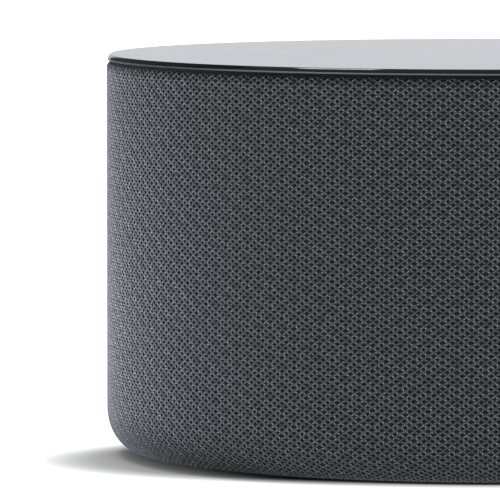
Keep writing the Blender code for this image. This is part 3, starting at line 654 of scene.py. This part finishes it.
def make_knit():
    """The sleeve's net of strands, in one piece for each sector round the speaker."""
    random = np.random.default_rng(KNIT_SEED)
    knit = Knit(random, int(SLEEVE_LENGTH / ROW_PITCH) + 4)
    verts, corners, ridges, rims = net_points(knit)
    cells, lights = net_triangles(knit, corners, ridges, rims)
    lights = darkened(knit, lights)

    angle, down = (knit.u / BODY_R + TURN).ravel(), knit.v.ravel()
    margin = CUT * ROW_PITCH
    seen = (down > -margin) & (down < SLEEVE_LENGTH + margin) & ~in_port(angle, down, PORT_GAP)
    cells, lights, angle = cells[seen], lights[seen], angle[seen]
    normals = vertex_normals(verts, cells.reshape(-1, 3))
    shade = lights * (YARN_SHADES - 1) + random.normal(0, SHADE_NOISE, lights.shape)
    shade = np.clip(shade, 0, YARN_SHADES - 1).round().astype(np.int32)
    yarns = yarn_materials()
    sector = (angle / (2 * math.pi) * SECTORS).astype(int) % SECTORS
    pieces = []
    for k in range(SECTORS):
        used, local = np.unique(cells[sector == k], return_inverse=True)
        net = add_mesh(f"knit_net_{k + 1}", verts[used], local.reshape(-1, 3), yarns[0])
        for yarn in yarns[1:]:
            net.data.materials.append(yarn)
        net.data.polygons.foreach_set("material_index", shade[sector == k].ravel())
        net.data.normals_split_custom_set_from_vertices(normals[used])
        stand_for(net, HOUSING, "knit_fabric")
        pieces.append(net)
    return pieces


def make_scrim(net):
    """The continuous dark cloth under the net: it carries the sleeve's flat size."""
    rows = np.linspace(0, SLEEVE_LENGTH, SCRIM_ROWS)
    angles = np.linspace(0, 2 * math.pi, SEGMENTS, endpoint=False)
    grid_a, grid_d = np.meshgrid(angles, rows, indexing="ij")
    under = np.full(grid_a.shape, -STRAND_H - SCRIM_GAP)
    verts = on_sleeve(grid_a, grid_d, under).reshape(-1, 3)
    ids = np.arange(SEGMENTS * SCRIM_ROWS).reshape(SEGMENTS, -1)
    after = np.roll(ids, -1, axis=0)
    quads = np.stack([ids[:, :-1], ids[:, 1:], after[:, 1:], after[:, :-1]], -1).reshape(-1, 4)
    middle_a = grid_a.ravel()[quads].copy()
    middle_a[middle_a.max(1) - middle_a.min(1) > math.pi] = 0
    keep = ~in_port(middle_a.mean(1), grid_d.ravel()[quads].mean(1), 0.0)
    used, local = np.unique(quads[keep], return_inverse=True)
    scrim = add_mesh("knit_scrim", verts[used], local.reshape(-1, 4), scrim_material())
    stand_for(scrim, HOUSING, "knit_fabric", "fabric_sleeve")


# ---------------------------------------------------------------- top plate and trim
def gloss_material():
    """Gloss black plastic with faint smears."""
    material, tree, shader = new_material("gloss_black_plate", {
        "Base Color": (0.006, 0.006, 0.007, 1), "IOR": 1.45,
    })
    smear = noise(tree, 28.0, detail=4.0)
    tree.links.new(spread(tree, smear, 0.05, 0.12), shader.inputs["Roughness"])
    return material


def trim_material():
    """Dark satin metal."""
    material, tree, shader = new_material("trim_line", {
        "Base Color": (0.125, 0.127, 0.13, 1), "Metallic": 1.0,
    })
    value = noise(tree, 600.0)
    tree.links.new(spread(tree, value, 0.25, 0.35), shader.inputs["Roughness"])
    return material


def make_top():
    """The plate: a flat face, a bevel that curves down to its foot, and a step under it."""
    wide, z = PLATE_R, PLATE_HIGH.z
    low, step_r, fine = z - BEVEL_H, 52.8 * MM, 0.02 * MM
    start, end = math.radians(BEVEL_TURN[0]), math.radians(BEVEL_TURN[1])
    radius = (z - low - fine) / (math.sin(start) - math.sin(end))
    centre = (wide - radius * math.cos(end), z - radius * math.sin(start))
    bevel = arc(centre, radius, *BEVEL_TURN, BEVEL_STEPS)
    face_r = bevel[0][0]
    profile = [(0, z), (face_r / 2, z), (face_r - fine, z)] + bevel + [(wide - fine, low)]
    profile += [(step_r, low), (step_r, PLATE_LOW.z), (0, PLATE_LOW.z)]
    plate = turned("gloss_top", profile, gloss_material(), sharp=14.0)
    stand_for(plate, HOUSING, "gloss_black", "top_plate")


def make_trim():
    """The thin bright line under the plate, on a dark skirt whose lip covers the cloth's edge."""
    drop, thick, fine = 0.57 * MM, 0.25 * MM, 0.03 * MM
    high = PLATE_HIGH.z - drop
    low = high - thick
    inner, skirt_r, lip_r = 53.1 * MM, 53.8 * MM, 54.65 * MM
    lip_low = SLEEVE_TOP + fine
    profile = [(inner, high), (PLATE_R - fine, high), (PLATE_R, high - fine)]
    profile += [(PLATE_R, low + fine), (PLATE_R - fine, low), (inner, low)]
    trim = turned("trim_line_ring", profile, trim_material())
    stand_for(trim, HOUSING, "trim", "trim_ring")
    profile = [(inner, low - fine), (lip_r, low - fine), (lip_r, lip_low), (skirt_r, lip_low)]
    profile += [(skirt_r, TRIM_LOW.z), (inner, TRIM_LOW.z)]
    # The skirt's near-black, almost unreflecting finish is partly painted shade in the gap under
    # the plate.
    skirt = turned("trim_skirt", profile, LOOKS["recess_black"])
    stand_for(skirt, HOUSING, "black_plastic")


# ---------------------------------------------------------------- finishing CAD nodes
def printed_board():
    """Green solder mask over copper tracks: tracks and pads show lighter, in slight relief."""
    material, tree, shader = new_material("solder_mask", {})
    tracks = tree.nodes.new("ShaderNodeTexVoronoi")
    tracks.distance = "MANHATTAN"
    tracks.feature = "F1"
    set_inputs(tracks, {"Scale": TRACK_SCALE, "Randomness": 0.85})
    tree.links.new(row_frame(tree), tracks.inputs["Vector"])
    lines = tree.nodes.new("ShaderNodeMath")
    lines.operation = "PINGPONG"
    lines.inputs[1].default_value = 0.12
    tree.links.new(tracks.outputs["Distance"], lines.inputs[0])
    mask = ramp(tree, lines.outputs["Value"], (0, 0, 0), (1, 1, 1), 0.05, 0.07)
    colour = ramp(tree, mask, (0.008, 0.035, 0.02), (0.02, 0.09, 0.05), 0.0, 1.0)
    tree.links.new(colour, shader.inputs["Base Color"])
    rough = spread(tree, noise(tree, 400.0), 0.28, 0.42)
    tree.links.new(rough, shader.inputs["Roughness"])
    bump(tree, shader, mask, 0.03 * MM)
    return material


BLACK_ABS = plain("black_abs", (0.022, 0.022, 0.023), 0.5)
LOOKS = {
    "black_plastic": BLACK_ABS,
    "grey_plastic": plain("grey_abs", (0.12, 0.12, 0.125), 0.55),
    "white_plastic": plain("white_moulding", (0.78, 0.78, 0.76), 0.45),
    "rubber": plain("black_rubber", (0.02, 0.02, 0.021), 0.8, grain=1500.0, depth=0.02 * MM),
    "foam": plain("foam_cell", (0.05, 0.05, 0.05), 0.95, grain=2500.0, depth=0.05 * MM),
    "circuit_board": printed_board(),
    "steel": plain("plated_steel", (0.55, 0.55, 0.56), 0.32, 1.0, stretch=(1, 8, 8)),
    "aluminium": plain("satin_aluminium", (0.75, 0.75, 0.76), 0.35, 1.0, stretch=(1, 8, 1)),
    "nickel": plain("nickel_plate", (0.62, 0.6, 0.57), 0.22, 1.0),
    "copper": plain("copper_winding", (0.72, 0.36, 0.2), 0.3, 1.0, stretch=(1, 1, 12)),
    "brass": plain("bright_brass", (0.7, 0.55, 0.25), 0.28, 1.0),
    "cone_paper": plain("pressed_paper", (0.035, 0.035, 0.035), 0.85, grain=1200.0, shift=0.4),
    "spider_cloth": plain("varnished_cloth", (0.45, 0.32, 0.12), 0.8, grain=2000.0, shift=0.3),
    "lead_jacket": plain("lead_jacket", (0.02, 0.02, 0.02), 0.6),
    # Near-black and almost without reflection: partly painted shade in recesses such as the gap
    # under the plate.
    "recess_black": plain("recess_black", (0.012, 0.012, 0.013), 0.9, gloss=0.02),
    "gloss_black": BLACK_ABS,
    "trim": BLACK_ABS,
    "knit_fabric": BLACK_ABS,
}


def finish_cad_nodes():
    """Gives every CAD node the material of its slot in the record."""
    slots = {s["node"]: s["material_slot"] for s in frame["record"]["subparts"]}
    for name, node in frame["nodes"].items():
        node.data.materials.clear()
        node.data.materials.append(LOOKS[slots[name]])


# ---------------------------------------------------------------- foot, port and flexible rings
def inner_radius(name):
    """How near a CAD node comes to the speaker's axis."""
    return min(math.hypot(v.co.x, v.co.y) for v in frame["nodes"][name].data.vertices)


def make_foot():
    """The rubber foot: rounded edges and fine round grooves in its tread."""
    inner, outer, top = inner_radius("foot_ring"), FOOT_HIGH.x, FOOT_HIGH.z
    edge = 2 * FINE_EDGE
    profile = [(outer, top)] + arc((outer - edge, edge), edge, 0, -90, 6)
    pitch = (outer - inner) / (FOOT_GROOVES + 1)
    for k in range(FOOT_GROOVES):
        r = outer - (k + 1) * pitch
        for across, deep in GROOVE_SECTION:
            profile.append((r + across * GROOVE_W, deep * GROOVE_DEPTH))
    profile += arc((inner + edge, edge), edge, -90, -180, 6) + [(inner, top)]
    foot = turned("foot_tread", profile, LOOKS["rubber"])
    stand_for(foot, HOUSING, "rubber", "foot_ring")


def node_copy(name, node):
    """A copy of a CAD node's mesh, its flat faces joined again, ready for finer work."""
    mesh = frame["nodes"][node].data.copy()
    bm = bmesh.new()
    bm.from_mesh(mesh)
    bmesh.ops.remove_doubles(bm, verts=bm.verts, dist=0.001 * MM)
    bmesh.ops.dissolve_limit(
        bm, angle_limit=math.radians(0.5), verts=bm.verts, edges=bm.edges, delimit=set()
    )
    bm.to_mesh(mesh)
    bm.free()
    return place_object(name, mesh)


def apply_modifiers(obj):
    """Replaces the mesh with its evaluated form."""
    graph = bpy.context.evaluated_depsgraph_get()
    made = bpy.data.meshes.new_from_object(obj.evaluated_get(graph))
    obj.modifiers.clear()
    obj.data = made


def soften(name, node, body, slot, width):
    """A CAD node again with finely rounded edges."""
    sharp = 40.0
    obj = node_copy(name, node)
    bevel = obj.modifiers.new("edges", "BEVEL")
    bevel.width = width
    bevel.segments = 3
    bevel.limit_method = "ANGLE"
    bevel.angle_limit = math.radians(sharp)
    apply_modifiers(obj)
    dress(obj.data, LOOKS[slot], sharp)
    stand_for(obj, body, slot, node)


def make_bezel():
    """A raised pill-shaped lip round the rear port. It holds down the knit's cut edge."""
    outline = []
    for side, start in ((1, -90), (-1, 90)):
        for x, z in arc((0, 0), 1.0, start, start + 180, 32):
            outline.append((side * PORT_STRAIGHT, x, z))
    low, high = BODY_R - BEZEL_SUNK, BODY_R + BEZEL_PROUD
    inner, outer = PORT_HALF_H + PORT_GAP, PORT_HALF_H + PORT_GAP + BEZEL_W
    edge = BEZEL_ROUND
    section = [(outer, low)] + arc((outer - edge, high - edge), edge, 0, 90, 5)
    section += arc((inner + edge, high - edge), edge, 90, 180, 5) + [(inner, low)]
    verts = []
    for middle, x, z in outline:
        for away, radius in section:
            at = middle + away * x
            verts.append((at, math.sqrt(radius**2 - at**2), PORT_Z + away * z))
    count, around = len(section), len(outline)
    faces = []
    for i in range(around):
        after = (i + 1) % around
        for k in range(count):
            n = (k + 1) % count
            faces.append((i * count + k, i * count + n, after * count + n, after * count + k))
    bezel = add_mesh("port_bezel", verts, faces, LOOKS["black_plastic"])
    bezel.data.set_sharp_from_angle(angle=math.radians(50))
    stand_for(bezel, HOUSING, "black_plastic")


def make_ribs():
    """Grip ribs on the mute switch's knob."""
    bm = bmesh.new()
    knob_w, knob_h = KNOB_HIGH.x - KNOB_LOW.x, KNOB_HIGH.z - KNOB_LOW.z
    size = (RIB_W, RIB_THICK, knob_h * RIB_SHARE)
    for k in range(RIB_COUNT):
        x = KNOB_LOW.x + knob_w * (k + 1) / (RIB_COUNT + 1)
        made = bmesh.ops.create_cube(bm, size=1.0)["verts"]
        bmesh.ops.scale(bm, vec=size, verts=made)
        middle = (x, KNOB_HIGH.y + RIB_PROUD, (KNOB_HIGH.z + KNOB_LOW.z) / 2)
        bmesh.ops.translate(bm, vec=middle, verts=made)
    bmesh.ops.bevel(
        bm, geom=bm.edges[:], offset=RIB_ROUND, segments=2, affect="EDGES", profile=0.5
    )
    mesh = bpy.data.meshes.new("mute_switch_ribs")
    bm.to_mesh(mesh)
    bm.free()
    dress(mesh, LOOKS["grey_plastic"], 50.0)
    stand_for(place_object("mute_switch_ribs", mesh), "mute_slider", "grey_plastic")


def make_port():
    """The rear port's pieces with fine edges, its lip, the mute knob's ribs and the reset cap."""
    soften("port_face", "port_panel", HOUSING, "black_plastic", FINE_EDGE)
    soften("jack_housing", "dc_jack", HOUSING, "black_plastic", FINE_EDGE)
    soften("mute_knob", "mute_switch", "mute_slider", "grey_plastic", 0.6 * FINE_EDGE)
    soften("reset_key_cap", "reset_button", "reset_key", "grey_plastic", 0.6 * FINE_EDGE)
    make_bezel()
    make_ribs()


def make_flexible(name, node, slot):
    """A thin ring between the housing and the piece it carries, made again with a finer mesh."""
    obj = node_copy(name, node)
    bm = bmesh.new()
    bm.from_mesh(obj.data)
    bmesh.ops.triangulate(bm, faces=[f for f in bm.faces if len(f.verts) > 4])
    bmesh.ops.subdivide_edges(bm, edges=bm.edges[:], cuts=1, use_grid_fill=True, smooth=0.0)
    bm.to_mesh(obj.data)
    bm.free()
    dress(obj.data, LOOKS[slot], 50.0)
    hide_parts(node)
    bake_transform(obj)


def make_flexible_rings():
    """The driver's surround and spider, and the surrounds of the two passive radiators."""
    make_flexible("surround_roll", "driver_surround", "rubber")
    make_flexible("spider_disc", "spider", "spider_cloth")
    for k, (side, body) in enumerate(((1, "radiator_right"), (-1, "radiator_left")), 1):
        node = f"radiator_surround_{k}"
        make_flexible(f"radiator_roll_{k}", node, "rubber")


bpy.context.scene.view_settings.view_transform = "Standard"
make_camera()
make_world()
make_lights()
make_floor()
make_black_card()
finish_cad_nodes()
make_scrim(make_knit())
make_top()
make_trim()
make_foot()
make_port()
make_flexible_rings()
